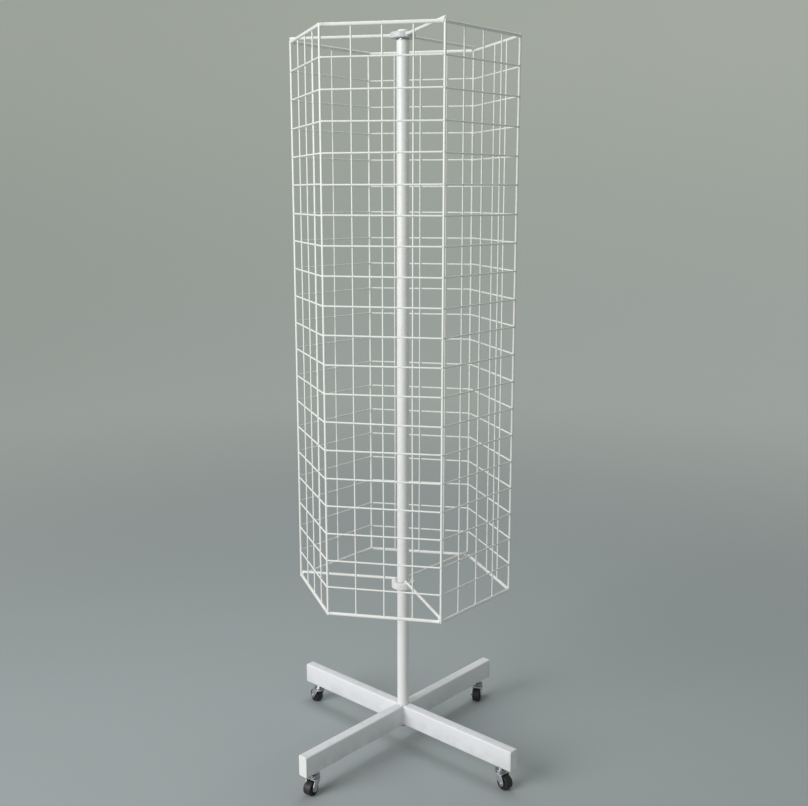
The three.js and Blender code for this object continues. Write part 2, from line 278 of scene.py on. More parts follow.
def hex_solid(flats, z0, z1, m=None, into=None, both=True):
    """A hexagon bar whose ends are chamfered to a circle, as a bolt head or a nut is: made as the smaller of a hexagon and a cone at each angle."""
    seg = 72
    a = np.arange(seg) * 2 * math.pi / seg
    apo = flats / 2
    fold = (a + math.pi / 6) % (math.pi / 3) - math.pi / 6
    hexr = apo / np.cos(fold)
    corner = apo / math.cos(math.pi / 6)
    c = (corner - apo * 0.97) * math.tan(math.radians(30))
    rows = []

    def row(z, cap):
        rows.append(np.stack([np.minimum(hexr, cap) * np.cos(a), np.minimum(hexr, cap) * np.sin(a), np.full(seg, z)], 1))

    steps = 5
    if both:
        for i in range(steps + 1):
            row(z0 + c * i / steps, apo * 0.97 + (corner - apo * 0.97) * i / steps)
    else:
        row(z0, corner)
    for i in range(steps + 1):
        row(z1 - c * (1 - i / steps), apo * 0.97 + (corner - apo * 0.97) * (1 - i / steps))
    n = len(rows)
    v = np.vstack(rows + [np.array([[0, 0, z0], [0, 0, z1]])])
    f = []
    for i in range(n - 1):
        for j in range(seg):
            j2 = (j + 1) % seg
            f.append((i * seg + j, i * seg + j2, (i + 1) * seg + j2, (i + 1) * seg + j))
    for j in range(seg):
        j2 = (j + 1) % seg
        f.append((n * seg, j2, j))
        f.append((n * seg + 1, (n - 1) * seg + j, (n - 1) * seg + j2))
    s = into or Shape()
    return s.add(v, f, m)


def thread(r, depth, pitch, z0, z1, seg=28, per=6, m=None, into=None):
    """A screw thread: a bar whose radius follows a helix, plain at its two ends."""
    k = max(3, int((z1 - z0) / pitch * per))
    z = np.linspace(z0, z1, k + 1)
    a = np.arange(seg) * 2 * math.pi / seg
    zz, aa = np.meshgrid(z, a, indexing="ij")
    phase = (zz / pitch - aa / (2 * math.pi)) % 1.0
    tooth = 1 - np.abs(2 * phase - 1)
    fade = np.clip(np.minimum(zz - z0, z1 - zz) / pitch, 0, 1)
    rr = r - depth * (1 - tooth * fade)
    v = np.stack([rr * np.cos(aa), rr * np.sin(aa), zz], 2).reshape(-1, 3)
    v = np.vstack([v, (0, 0, z0), (0, 0, z1)])
    f = []
    for i in range(k):
        for j in range(seg):
            j2 = (j + 1) % seg
            f.append((i * seg + j, i * seg + j2, (i + 1) * seg + j2, (i + 1) * seg + j))
    a0 = (k + 1) * seg
    for j in range(seg):
        j2 = (j + 1) % seg
        f.append((a0, j2, j))
        f.append((a0 + 1, k * seg + j, k * seg + j2))
    s = into or Shape()
    return s.add(v, f, m)


def mesh_of(shape, name="tmp"):
    me = bpy.data.meshes.new(name)
    me.from_pydata((shape.points() * MM).tolist(), [], shape.f)
    me.validate()
    bm = bmesh.new()
    bm.from_mesh(me)
    bmesh.ops.recalc_face_normals(bm, faces=bm.faces)
    bm.to_mesh(me)
    bm.free()
    return me


def boolean(mesh, tools, op="DIFFERENCE", solver="MANIFOLD"):
    """Joins or cuts closed meshes and returns a new mesh."""
    o = bpy.data.objects.new("tmp_a", mesh)
    bpy.context.scene.collection.objects.link(o)
    helpers = [o]
    for i, t in enumerate(tools):
        t = mesh_of(t) if isinstance(t, Shape) else t
        h = bpy.data.objects.new("tmp_t", t)
        bpy.context.scene.collection.objects.link(h)
        helpers.append(h)
        b = o.modifiers.new("b", "BOOLEAN")
        b.object, b.operation, b.solver = h, op, solver
    dg = bpy.context.evaluated_depsgraph_get()
    dg.update()
    out = bpy.data.meshes.new_from_object(o.evaluated_get(dg))
    for h in helpers:
        bpy.data.objects.remove(h)
    if len(out.polygons) == 0:
        raise RuntimeError("a boolean came out empty")
    return out


def tidy(me, merge=0.004):
    bm = bmesh.new()
    bm.from_mesh(me)
    bmesh.ops.remove_doubles(bm, verts=bm.verts, dist=merge * MM)
    bmesh.ops.dissolve_degenerate(bm, edges=bm.edges, dist=merge * MM)
    loose = [v for v in bm.verts if not v.link_faces]
    bmesh.ops.delete(bm, geom=loose, context="VERTS")
    bmesh.ops.recalc_face_normals(bm, faces=bm.faces)
    bm.to_mesh(me)
    bm.free()
    return me


def coords(me):
    co = np.zeros(len(me.vertices) * 3)
    me.vertices.foreach_get("co", co)
    return co.reshape(-1, 3)


def set_coords(me, co):
    me.vertices.foreach_set("co", np.asarray(co, np.float32).ravel())
    me.update()


def piece(name, what, mat, body, replaces=(), sharp=38.0, wear=None):
    """Makes a finished piece of the object from a Shape or a mesh."""
    me = mesh_of(what, name) if isinstance(what, Shape) else what
    me.name = name
    for p in me.polygons:
        p.use_smooth = True
    me.set_sharp_from_angle(angle=math.radians(sharp))
    if wear is not None:
        w = np.clip(wear(coords(me) / MM), 0, 1).astype(np.float32)
        at = me.attributes.new("wear", "FLOAT", "POINT")
        at.data.foreach_set("value", w)
    me.materials.clear()
    me.materials.append(mat)
    o = bpy.data.objects.new(name, me)
    bpy.context.scene.collection.objects.link(o)
    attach(o, body)
    if replaces:
        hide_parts(*([replaces] if isinstance(replaces, str) else replaces))
    return o


def bead(path, r, pitch=3.2, ripple=0.16, seed=1, into=None, sides=12, up=(0, 0, 1)):
    """A weld bead: a bar of slightly uneven thickness with the scales of a hand-run weld."""
    path = np.asarray(path, float)
    seg = np.linalg.norm(np.diff(path, axis=0), axis=1)
    length = seg.sum()
    n = max(8, int(length / 0.55))
    at = np.concatenate([[0], np.cumsum(seg)])
    t = np.linspace(0, length, n)
    p = np.stack([np.interp(t, at, path[:, i]) for i in range(3)], 1)
    rng = np.random.default_rng(seed)
    ph = rng.random() * 6.28
    saw = ((t / pitch + 0.15 * np.sin(t / 7 + ph)) % 1.0)
    sc = 1 - ripple * saw + 0.05 * np.sin(t / 5.1 + ph)
    ends = np.clip(np.minimum(t, length - t) / (0.9 * r), 0, 1)
    sc *= np.sqrt(np.clip(1 - (1 - ends) ** 2, 0.02, 1))
    return sweep(p, circle(r, sides), into=into, scale=sc, up=up)


# ---------------------------------------------------------------------------------------------------
# materials
# ---------------------------------------------------------------------------------------------------


class Nodes:
    """A short way to wire a node tree."""

    def __init__(self, name):
        self.mat = bpy.data.materials.new(name)
        self.mat.use_nodes = True
        self.t = self.mat.node_tree
        self.t.nodes.clear()
        self.out = self.t.nodes.new("ShaderNodeOutputMaterial")
        self.bsdf = self.t.nodes.new("ShaderNodeBsdfPrincipled")
        self.t.links.new(self.bsdf.outputs[0], self.out.inputs[0])
        self.coord = self.t.nodes.new("ShaderNodeTexCoord").outputs["Object"]
        self.geo = self.t.nodes.new("ShaderNodeNewGeometry")

    def link(self, a, b):
        self.t.links.new(a, b)
        return b

    def mapped(self, scale=(1, 1, 1), rot=(0, 0, 0), loc=(0, 0, 0)):
        n = self.t.nodes.new("ShaderNodeMapping")
        n.inputs["Scale"].default_value = scale
        n.inputs["Rotation"].default_value = rot
        n.inputs["Location"].default_value = loc
        self.link(self.coord, n.inputs["Vector"])
        return n.outputs[0]

    def noise(self, scale, detail=3.0, rough=0.55, vec=None, dist=0.0):
        n = self.t.nodes.new("ShaderNodeTexNoise")
        n.inputs["Scale"].default_value = scale
        n.inputs["Detail"].default_value = detail
        n.inputs["Roughness"].default_value = rough
        n.inputs["Distortion"].default_value = dist
        self.link(vec if vec is not None else self.coord, n.inputs["Vector"])
        return n.outputs["Fac"]

    def cells(self, scale, vec=None, feature="F1", rand=1.0):
        n = self.t.nodes.new("ShaderNodeTexVoronoi")
        n.feature = feature
        n.inputs["Scale"].default_value = scale
        n.inputs["Randomness"].default_value = rand
        self.link(vec if vec is not None else self.coord, n.inputs["Vector"])
        return n.outputs["Distance"]

    def wave(self, scale, vec=None, distortion=0.0, direction="Z", detail=2.0, dscale=1.0):
        n = self.t.nodes.new("ShaderNodeTexWave")
        n.wave_type = "BANDS"
        n.bands_direction = direction
        n.inputs["Scale"].default_value = scale
        n.inputs["Distortion"].default_value = distortion
        n.inputs["Detail"].default_value = detail
        n.inputs["Detail Scale"].default_value = dscale
        self.link(vec if vec is not None else self.coord, n.inputs["Vector"])
        return n.outputs["Fac"]

    def ramp(self, fac, lo, hi, a=0.0, b=1.0, clamp=True):
        n = self.t.nodes.new("ShaderNodeMapRange")
        n.clamp = clamp
        n.interpolation_type = "SMOOTHSTEP" if clamp else "LINEAR"
        for k, x in (("From Min", lo), ("From Max", hi), ("To Min", a), ("To Max", b)):
            n.inputs[k].default_value = x
        self.link(fac, n.inputs["Value"])
        return n.outputs[0]

    def math(self, op, a, b=None, c=None):
        n = self.t.nodes.new("ShaderNodeMath")
        n.operation = op
        for i, x in enumerate((a, b, c)):
            if x is None:
                continue
            if isinstance(x, (int, float)):
                n.inputs[i].default_value = x
            else:
                self.link(x, n.inputs[i])
        return n.outputs[0]

    def mix(self, fac, a, b, mode="MIX"):
        n = self.t.nodes.new("ShaderNodeMix")
        n.data_type = "RGBA"
        n.blend_type = mode
        ins = [i for i in n.inputs if i.type == "RGBA"]
        if isinstance(fac, (int, float)):
            n.inputs[0].default_value = fac
        else:
            self.link(fac, n.inputs[0])
        for sock, x in zip(ins, (a, b)):
            if isinstance(x, (tuple, list)):
                sock.default_value = (*x[:3], 1.0)
            else:
                self.link(x, sock)
        return [o for o in n.outputs if o.type == "RGBA"][0]

    def axis(self, vec, which):
        n = self.t.nodes.new("ShaderNodeSeparateXYZ")
        self.link(vec, n.inputs[0])
        return n.outputs[which]

    def attr(self, name):
        n = self.t.nodes.new("ShaderNodeAttribute")
        n.attribute_name = name
        return n.outputs["Fac"]

    def bump(self, height, strength, distance, prev=None):
        n = self.t.nodes.new("ShaderNodeBump")
        n.inputs["Strength"].default_value = strength
        n.inputs["Distance"].default_value = distance
        self.link(height, n.inputs["Height"])
        if prev is not None:
            self.link(prev, n.inputs["Normal"])
        return n.outputs[0]

    def done(self, color, rough, normal=None, metallic=0.0, **sockets):
        self.link(color, self.bsdf.inputs["Base Color"])
        if isinstance(rough, (int, float)):
            self.bsdf.inputs["Roughness"].default_value = rough
        else:
            self.link(rough, self.bsdf.inputs["Roughness"])
        if isinstance(metallic, (int, float)):
            self.bsdf.inputs["Metallic"].default_value = metallic
        else:
            self.link(metallic, self.bsdf.inputs["Metallic"])
        if normal is not None:
            self.link(normal, self.bsdf.inputs["Normal"])
        for k, x in sockets.items():
            self.bsdf.inputs[k.replace("_", " ")].default_value = x
        return self.mat


def powder_coat(name, base=(0.80, 0.795, 0.775), rough=0.40, dust=0.35, scuff=0.5, low=False, rub=False, chips=0.5):
    """White powder coat: fine orange peel, faint clouding, dust on what faces up, grey rubs, and chips where edges are knocked."""
    n = Nodes(name)
    cloud = n.noise(5.0, 4, 0.6)
    fine = n.noise(60.0, 3, 0.6)
    tone = n.mix(n.ramp(cloud, 0.3, 0.7), base, (base[0] * 0.965, base[1] * 0.962, base[2] * 0.95))
    tone = n.mix(n.ramp(fine, 0.35, 0.75, 0.0, 0.35), tone, (base[0] * 0.93, base[1] * 0.935, base[2] * 0.94))
    # dust on the upward faces
    up = n.ramp(n.axis(n.geo.outputs["Normal"], 2), 0.45, 0.95)
    dusty = n.math("MULTIPLY", up, n.ramp(n.noise(38.0, 4, 0.65), 0.42, 0.72, 0.0, dust))
    tone = n.mix(dusty, tone, (0.50, 0.485, 0.45))
    # rubs: short grey marks
    streak = n.noise(240.0, 3, 0.55, n.mapped((0.16, 0.16, 1.0)))
    patch = n.ramp(n.noise(9.0, 2, 0.5), 0.52, 0.66)
    marks = n.math("MULTIPLY", n.ramp(streak, 0.62, 0.70, 0.0, scuff), patch)
    tone = n.mix(marks, tone, (0.47, 0.46, 0.45))
    # chips on knocked edges, from the wear that the mesh carries
    worn = n.math("MULTIPLY", n.attr("wear"), n.ramp(n.noise(210.0, 3, 0.6), 0.50, 0.60))
    tone = n.mix(n.math("MULTIPLY", worn, chips), tone, (0.30, 0.295, 0.29))
    if low:
        z = n.axis(n.coord, 2)
        grime = n.math("MULTIPLY", n.ramp(z, 0.12, 0.068), n.ramp(n.noise(22.0, 4, 0.6), 0.35, 0.7, 0.02, 0.20))
        tone = n.mix(grime, tone, (0.30, 0.285, 0.26))
    if rub:
        z = n.axis(n.coord, 2)
        band = n.math("MULTIPLY", n.ramp(z, 0.476, 0.489), n.ramp(z, 0.531, 0.511))
        ring = n.ramp(n.noise(60.0, 2, 0.5, n.mapped((0.25, 0.25, 14.0))), 0.42, 0.62, 0.03, 0.22)
        tone = n.mix(n.math("MULTIPLY", band, ring), tone, (0.36, 0.355, 0.35))
    peel = n.noise(520.0, 2, 0.45)
    grain = n.cells(1500.0)
    normal = n.bump(peel, 0.16, 0.00035)
    normal = n.bump(grain, 0.05, 0.0001, normal)
    r = n.ramp(fine, 0.25, 0.8, rough - 0.05, rough + 0.07)
    r = n.math("ADD", r, n.math("MULTIPLY", dusty, 0.35))
    r = n.math("ADD", r, n.math("MULTIPLY", marks, 0.15))
    return n.done(tone, r, normal, Specular_IOR_Level=0.5, Coat_Weight=0.06, Coat_Roughness=0.25)


def zinc(name, base=(0.60, 0.61, 0.63), rough=0.30, dark=0.30):
    """Bright zinc plate: cloudy passivation, faint blue and straw tints, rubs, and grey in the corners."""
    n = Nodes(name)
    cloud = n.noise(140.0, 4, 0.6, dist=0.4)
    tint = n.noise(55.0, 2, 0.5)
    tone = n.mix(n.ramp(cloud, 0.3, 0.7), base, (base[0] * 0.78, base[1] * 0.79, base[2] * 0.80))
    tone = n.mix(n.ramp(tint, 0.5, 0.72, 0.0, 0.35), tone, (0.62, 0.58, 0.46))
    tone = n.mix(n.ramp(tint, 0.5, 0.28, 0.0, 0.3), tone, (0.47, 0.53, 0.62))
    grime = n.math("MULTIPLY", n.ramp(n.noise(320.0, 4, 0.7), 0.55, 0.75, 0.0, dark), n.ramp(n.noise(70.0, 2, 0.5), 0.4, 0.7))
    tone = n.mix(grime, tone, (0.16, 0.145, 0.13))
    lines = n.noise(900.0, 2, 0.6, n.mapped((1.0, 0.06, 0.9), (0.3, 0.2, 0.1)))
    normal = n.bump(lines, 0.10, 0.00012)
    normal = n.bump(n.noise(420.0, 3, 0.5), 0.10, 0.0002, normal)
    r = n.ramp(cloud, 0.25, 0.75, rough - 0.06, rough + 0.12)
    r = n.math("ADD", r, n.math("MULTIPLY", grime, 0.35))
    return n.done(tone, r, normal, metallic=1.0)


def steel(name, base=(0.56, 0.56, 0.57), rough=0.22):
    """Ground bearing steel with a film of oil."""
    n = Nodes(name)
    rings = n.noise(60.0, 3, 0.5, n.mapped((0.4, 0.4, 30.0)))
    oil = n.ramp(n.noise(90.0, 3, 0.6), 0.45, 0.7, 0.0, 0.55)
    tone = n.mix(oil, base, (base[0] * 0.6, base[1] * 0.56, base[2] * 0.48))
    r = n.ramp(rings, 0.3, 0.7, rough - 0.05, rough + 0.1)
    return n.done(tone, r, n.bump(rings, 0.08, 0.0001), metallic=1.0)


def wheel_plastic(name, base=(0.011, 0.011, 0.013), rough=0.48):
    """Black moulded wheel: fine moulding grain, scuffed and dusty on the tread."""
    n = Nodes(name)
    grain = n.noise(900.0, 2, 0.5)
    cloud = n.noise(90.0, 4, 0.6)
    tone = n.mix(n.ramp(cloud, 0.3, 0.7), base, (0.019, 0.0185, 0.019))
    tread = n.attr("wear")
    dust = n.math("MULTIPLY", n.ramp(n.noise(260.0, 4, 0.65), 0.46, 0.72, 0.0, 0.35), tread)
    tone = n.mix(dust, tone, (0.070, 0.066, 0.062))
    flecks = n.math("MULTIPLY", n.ramp(n.cells(480.0), 0.16, 0.08), n.ramp(cloud, 0.55, 0.7, 0.0, 0.4))
    tone = n.mix(flecks, tone, (0.10, 0.095, 0.088))
    scratch = n.noise(300.0, 3, 0.6, n.mapped((1.0, 1.0, 0.2), (0.5, 0.8, 0.2)))
    normal = n.bump(grain, 0.12, 0.00015)
    normal = n.bump(scratch, 0.12, 0.0002, normal)
    r = n.ramp(cloud, 0.3, 0.75, rough - 0.06, rough + 0.1)
    r = n.math("ADD", r, n.math("MULTIPLY", dust, 0.5))
    return n.done(tone, r, normal, Specular_IOR_Level=0.5)


def moulded(name, base, rough=0.45, spots=0.25, tint=(0.60, 0.57, 0.50)):
    """Moulded plastic: soft spark-eroded grain, yellowing in patches and fine scratches."""
    n = Nodes(name)
    cloud = n.noise(30.0, 3, 0.55)
    tone = n.mix(n.ramp(cloud, 0.35, 0.75, 0.0, spots), base, tint)
    speck = n.ramp(n.cells(600.0), 0.12, 0.05, 0.0, 0.25)
    tone = n.mix(n.math("MULTIPLY", speck, n.ramp(cloud, 0.45, 0.6)), tone, (0.33, 0.31, 0.28))
    worn = n.math("MULTIPLY", n.attr("wear"), n.ramp(n.noise(260.0, 3, 0.6), 0.45, 0.62, 0.0, 0.6))
    tone = n.mix(worn, tone, (base[0] * 0.55, base[1] * 0.54, base[2] * 0.52))
    grain = n.noise(1400.0, 2, 0.5)
    scratch = n.noise(420.0, 3, 0.6, n.mapped((1.0, 0.12, 0.5), (0.4, 0.9, 0.3)))
    normal = n.bump(grain, 0.14, 0.00012)
    normal = n.bump(scratch, 0.07, 0.0002, normal)
    r = n.ramp(cloud, 0.3, 0.8, rough - 0.05, rough + 0.1)
    return n.done(tone, r, normal, Specular_IOR_Level=0.45)


M_WIRE = powder_coat("powder_coat_wire", (0.82, 0.815, 0.80), 0.38, dust=0.20, scuff=0.35)
M_FRAME = powder_coat("powder_coat_frame", (0.82, 0.815, 0.80), 0.38, dust=0.20, scuff=0.35)
M_POLE = powder_coat("powder_coat_pole", (0.84, 0.84, 0.84), 0.34, dust=0.1, scuff=0.18, rub=True)
M_LEG = powder_coat("powder_coat_leg", (0.80, 0.80, 0.84), 0.42, dust=0.25, scuff=0.30, low=True, chips=0.35)
# The upper hub's coat is a darker grey than the lower hub's white coat of the same kind. This is painted shade for the
# shade on its underside, seen from below.
M_HUB_PAINTED_SHADE = powder_coat("powder_coat_hub_painted_shade", (0.66, 0.65, 0.68), 0.46, dust=0.30, scuff=0.45)
M_HUB_LOW = powder_coat("powder_coat_hub_low", (0.83, 0.825, 0.83), 0.42, dust=0.08, scuff=0.10, chips=0.12)
M_ZINC = zinc("zinc_plate")
M_ZINC_FORK = zinc("zinc_plate_fork", (0.66, 0.655, 0.70), 0.50, 0.28)
M_STEEL = steel("bearing_steel")
M_WHEEL = wheel_plastic("wheel_plastic")
M_NYLON = moulded("nylon_natural", (0.72, 0.70, 0.62), 0.5)
M_CAP = moulded("white_cap_plastic", (0.80, 0.80, 0.81), 0.42, 0.2, (0.72, 0.70, 0.66))

# ---------------------------------------------------------------------------------------------------
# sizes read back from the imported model, in millimetres
# ---------------------------------------------------------------------------------------------------


def box(node):
    lo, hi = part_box(node)
    return np.array(lo) / MM, np.array(hi) / MM


RAIL_R, WIRE_R, POST_R, SPOKE_R = 4.5, 2.2, 3.5, 4.0
CELL = 75.0
CORNERS = "defabc"
post_at = {}
for k in CORNERS:
    lo, hi = box("corner_post_" + k)
    post_at[k] = (lo + hi)[:2] / 2
POST_Z0, POST_Z1 = box("corner_post_a")[0][2], box("corner_post_a")[1][2]
RAIL_Z0, RAIL_Z1 = POST_Z0 + RAIL_R, POST_Z1 - RAIL_R
ROWS = int(round((RAIL_Z1 - RAIL_Z0) / CELL))
COLS = 4
SIDE = float(np.linalg.norm(post_at["d"] - post_at["e"]))

# ---------------------------------------------------------------------------------------------------
# the grid panels
# ---------------------------------------------------------------------------------------------------


def make_panel():
    """One welded grid in its own plane: x along the side, y outwards, z up from the bottom rail's centre."""
    height = RAIL_Z1 - RAIL_Z0
    end = SIDE / 2 - POST_R
    across = Shape()
    for z in (0.0, height):
        rod((-end + 0.5, 0, z), (end - 0.5, 0, z), RAIL_R, 28, 25, across)
    for r in range(1, ROWS):
        rod((-end - 0.4, WIRE_R - 0.2, r * CELL), (end + 0.4, WIRE_R - 0.2, r * CELL), WIRE_R, 18, 12.5, across)
    up = Shape()
    for c in range(1, COLS):
        x = -SIDE / 2 + SIDE * c / COLS
        rod((x, 0.2 - WIRE_R, 1.2), (x, 0.2 - WIRE_R, height - 1.2), WIRE_R, 18, 12.5, up)
    spots = Shape()
    rng = np.random.default_rng(11)
    for r in range(1, ROWS):
        for c in range(1, COLS):
            x = -SIDE / 2 + SIDE * c / COLS
            q = rng.uniform(0.93, 1.1, 3)
            ball(1.0, (x, 0, r * CELL), 18, 10, (2.75 * q[0], 1.35 * q[1], 2.75 * q[2]), into=spots)
        for sx in (-1, 1):
            q = rng.uniform(0.9, 1.12, 3)
            ball(1.0, (sx * (end + 0.1), 1.55, r * CELL), 18, 10, (2.1 * q[0], 2.3 * q[1], 2.75 * q[2]), into=spots)
    for z, s in ((0.0, 1), (height, -1)):
        for c in range(1, COLS):
            x = -SIDE / 2 + SIDE * c / COLS
            q = rng.uniform(0.93, 1.1, 3)
            ball(1.0, (x, -3.0, z + s * 3.6), 18, 10, (2.9 * q[0], 1.9 * q[1], 1.8 * q[2]), into=spots)
        for sx in (-1, 1):
            q = rng.uniform(0.95, 1.08, 3)
            ball(1.0, (sx * (end - 0.3), 0, z), 24, 12, (2.3 * q[0], 4.9 * q[1], 4.95 * q[2]), into=spots)
    me = boolean(mesh_of(across), [mesh_of(up), mesh_of(spots)], "UNION")
    return tidy(me)


panel_mesh = make_panel()
base_co = coords(panel_mesh) / MM


def bow(co, seed, amount):
    """A gentle unevenness of the hand-welded wires, which fades at the posts."""
    out = co.copy()
    half = SIDE / 2
    edge = np.clip(1 - (np.abs(co[:, 0]) / half) ** 6, 0, 1)
    rng = np.random.default_rng(seed)
    # each horizontal lies a little high or low, and each upright a little to one side
    row_off = rng.normal(0, 0.45, ROWS + 1)
    row_slope = rng.normal(0, 0.5, ROWS + 1)
    row_off[0] = row_off[-1] = row_slope[0] = row_slope[-1] = 0
    z = np.clip(co[:, 2] / CELL, 0, ROWS)
    i = np.clip(np.round(z).astype(int), 0, ROWS)
    f = z - np.floor(z)
    lo_i = np.clip(np.floor(z).astype(int), 0, ROWS - 1)
    sm = f * f * (3 - 2 * f)
    off = row_off[lo_i] * (1 - sm) + row_off[lo_i + 1] * sm
    sl = row_slope[lo_i] * (1 - sm) + row_slope[lo_i + 1] * sm
    out[:, 2] += off + sl * co[:, 0] / half
    ph = rng.random(6) * 6.28
    out[:, 0] += edge * amount * (np.sin(co[:, 2] / 231 + ph[0]) + 0.5 * np.sin(co[:, 2] / 97 + ph[1]))
    out[:, 1] += edge * amount * (np.sin(co[:, 2] / 310 + ph[2]) * np.cos(co[:, 0] / 120 + ph[3]))
    return out


for i, k in enumerate(CORNERS):
    nxt = CORNERS[(i + 1) % 6]
    p, q = post_at[k], post_at[nxt]
    u = (q - p) / np.linalg.norm(q - p)
    mid = (p + q) / 2
    n_out = mid / np.linalg.norm(mid)
    m = np.eye(4)
    m[:2, 0], m[:2, 1], m[:2, 3] = u, n_out, mid
    m[2, 3] = RAIL_Z0
    me = panel_mesh.copy()
    co = bow(base_co, 100 + i, 0.35)
    set_coords(me, (co @ m[:3, :3].T + m[:3, 3]) * MM)
    if np.linalg.det(m[:3, :3]) < 0:
        me.flip_normals()
    piece(f"grid_{k}{nxt}", me, M_WIRE, "cage", f"panel_{k}{nxt}", sharp=42)
bpy.data.meshes.remove(panel_mesh)

# corner posts with a rounded top and bottom
for i, k in enumerate(CORNERS):
    x, y = post_at[k]
    s = Shape()
    prof = fillet([(0, POST_Z0), (POST_R, POST_Z0), (POST_R, POST_Z1), (0, POST_Z1)], 0.9, 4, loop=False)
    zs = np.arange(POST_Z0 + 12, POST_Z1 - 10, 25.0)
    lower = [p for p in prof if p[1] < (POST_Z0 + POST_Z1) / 2]
    upper = [p for p in prof if p[1] >= (POST_Z0 + POST_Z1) / 2]
    full = np.array(lower + [(POST_R, z) for z in zs] + upper)
    lathe(full, 28, shift(x, y), s)
    piece(f"post_{k}", s, M_FRAME, "cage", "corner_post_" + k)

# ---------------------------------------------------------------------------------------------------
# spokes and hubs
# ---------------------------------------------------------------------------------------------------
HUB_R = 33.0
top_lo, top_hi = box("top_hub")
low_lo, low_hi = box("lower_hub")
for k in "ace":
    d = post_at[k] / np.linalg.norm(post_at[k])
    side = np.array((-d[1], d[0]))

    def at(r, z, t=0.0):
        return (*(d * r + side * t), z)

    lo, hi = box("top_spoke_" + k)
    z = (lo[2] + hi[2]) / 2
    s = Shape()
    rod(at(HUB_R - 0.3, z), at(307.9, z), SPOKE_R, 28, 20, s, taper=(0.8, 0.82))
    # weld round the spoke where it meets the hub
    ring = [(*(d * (HUB_R + 1.2) + side * 4.3 * math.cos(a)), z + 4.3 * math.sin(a)) for a in np.linspace(0, 2 * math.pi, 40)]
    bead(ring, 1.7, 2.6, 0.22, 3, s, 10, up=(d[0], d[1], 0.01))
    # weld to the corner under it
    for t in (-1, 1):
        bead([at(297, z - 3.7, t * 3.1), at(305.8, z - 3.7, t * 3.1)], 1.9, 2.6, 0.2, 5 + t, s, 10)
    piece(f"upper_arm_{k}", s, M_FRAME, "cage", "top_spoke_" + k)

    lo, hi = box("bottom_spoke_" + k)
    z = (lo[2] + hi[2]) / 2
    s = Shape()
    rod(at(22.1, z), at(302.6, z), SPOKE_R, 28, 20, s, taper=(0.7, 0.82))
    for t in (-1, 1):
        bead([at(22.8, z - 3.6, t * 3.2), at(32.3, z - 3.6, t * 3.2)], 1.7, 2.6, 0.22, 13 + t, s, 10)
        bead([at(295, z - 3.7, t * 3.1), at(303, z - 3.7, t * 3.1)], 1.8, 2.6, 0.2, 15 + t, s, 10)
    piece(f"lower_arm_{k}", s, M_FRAME, "cage", "bottom_spoke_" + k)

RECESS = 13.3
ceiling = box("thrust_race_upper")[1][2] + 0.3
s = lathe(
    fillet(
        [(6.6, ceiling), (RECESS, ceiling), (RECESS, top_lo[2]), (HUB_R, top_lo[2]), (HUB_R, top_hi[2]), (6.6, top_hi[2])],
        [0.2, 0.4, 0.6, 1.6, 1.8, 0.4],
        5,
    ),
    128,
)
# The upper hub takes the darker coat, which is painted shade.
piece("hub_upper", s, M_HUB_PAINTED_SHADE, "cage", "top_hub", wear=lambda v: np.clip((np.hypot(v[:, 0], v[:, 1]) - 31.6) / 1.0, 0, 1) * 0.7)
s = lathe(
    fillet([(20.2, low_lo[2]), (HUB_R, low_lo[2]), (HUB_R, low_hi[2]), (20.2, low_hi[2])], [0.6, 1.6, 1.8, 0.6], 5),
    128,
)
piece("hub_lower", s, M_HUB_LOW, "cage", "lower_hub", wear=lambda v: np.clip((np.hypot(v[:, 0], v[:, 1]) - 31.6) / 1.0, 0, 1) * 0.7)

b_lo, b_hi = box("guide_bush")
s = lathe(
    fillet(
        [(17.4, b_lo[2]), (25.0, b_lo[2]), (25.0, low_lo[2] - 0.3), (19.8, low_lo[2] - 0.3), (19.8, b_hi[2]), (17.4, b_hi[2])],
        [0.5, 0.8, 0.5, 0.4, 0.5, 0.5],
        4,
    ),
    96,
)
piece("bush_nylon", s, M_NYLON, "cage", "guide_bush")

c_lo, c_hi = box("pivot_cover")
z = c_lo[2]
s = lathe(
    fillet(
        [(0, z + 5.75), (11.0, z + 5.35), (12.5, z + 4.1), (12.5, z + 0.05), (14.95, z + 0.05), (14.95, z + 4.4), (12.6, c_hi[2] - 0.8), (0, c_hi[2] - 0.05)],
        [0, 0.6, 0.6, 0.3, 0.4, 1.8, 3.0, 0],
        7,
        loop=False,
    ),
    96,
)
piece("pivot_cap", s, M_CAP, "cage", "pivot_cover")

# ---------------------------------------------------------------------------------------------------
# pole and pivot
# ---------------------------------------------------------------------------------------------------
p_lo, p_hi = box("pole")
zs = np.arange(p_lo[2] + 10, p_hi[2] - 5, 20.0)
mid = (p_lo[2] + p_hi[2]) / 2
outer = fillet([(15.0, p_lo[2]), (17.0, p_lo[2]), (17.0, p_hi[2]), (15.0, p_hi[2])], 0.45, 4)
low_in = [q for q in outer if q[0] < 16 and q[1] < mid]
low_out = [q for q in outer if q[0] > 16 and q[1] < mid]
top_out = [q for q in outer if q[0] > 16 and q[1] > mid]
top_in = [q for q in outer if q[0] < 16 and q[1] > mid]
loop = low_in + low_out + [(17.0, z) for z in zs] + top_out + top_in
s = lathe(loop, 96)
piece("pole_tube", s, M_POLE, "base", "pole")

